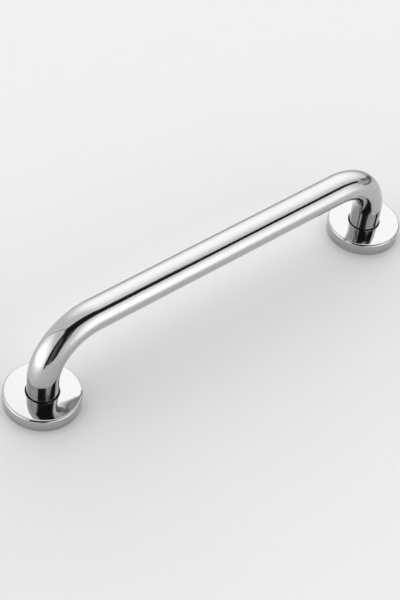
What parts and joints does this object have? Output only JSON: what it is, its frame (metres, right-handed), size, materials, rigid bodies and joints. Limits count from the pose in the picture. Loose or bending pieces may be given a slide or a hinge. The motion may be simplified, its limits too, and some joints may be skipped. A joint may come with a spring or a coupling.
{
  "type": "grab bar",
  "caption": "Wall grab bar: a polished bent tube welded to round wall flanges, each flange hidden by a thin round cover that slides on the tube.",
  "frame": {"origin": "on the wall plane, midway between the centres of the two flanges", "axes": "+X along the bar, +Z away from the wall, so the bar stands on its flanges as in the picture"},
  "size_m": [0.4, 0.062, 0.0827],
  "materials": {
    "polished_tube": "polished",
    "polished_cover": "polished",
    "satin_flange": "satin",
    "weld_metal": "matte"
  },
  "bodies": {
    "bar": {"bar_tube": "polished_tube", "left_flange": "satin_flange", "right_flange": "satin_flange", "left_weld": "weld_metal", "right_weld": "weld_metal"},
    "left_cover": {"left_cover": "polished_cover"},
    "right_cover": {"right_cover": "polished_cover"}
  },
  "joints": [
    {"name": "left_cover_slide", "type": "slide", "parent": "bar", "child": "left_cover", "axis": [0, 0, 1], "range_m": [0, 0.0138]},
    {"name": "right_cover_slide", "type": "slide", "parent": "bar", "child": "right_cover", "axis": [0, 0, 1], "range_m": [0, 0.0138]}
  ]
}
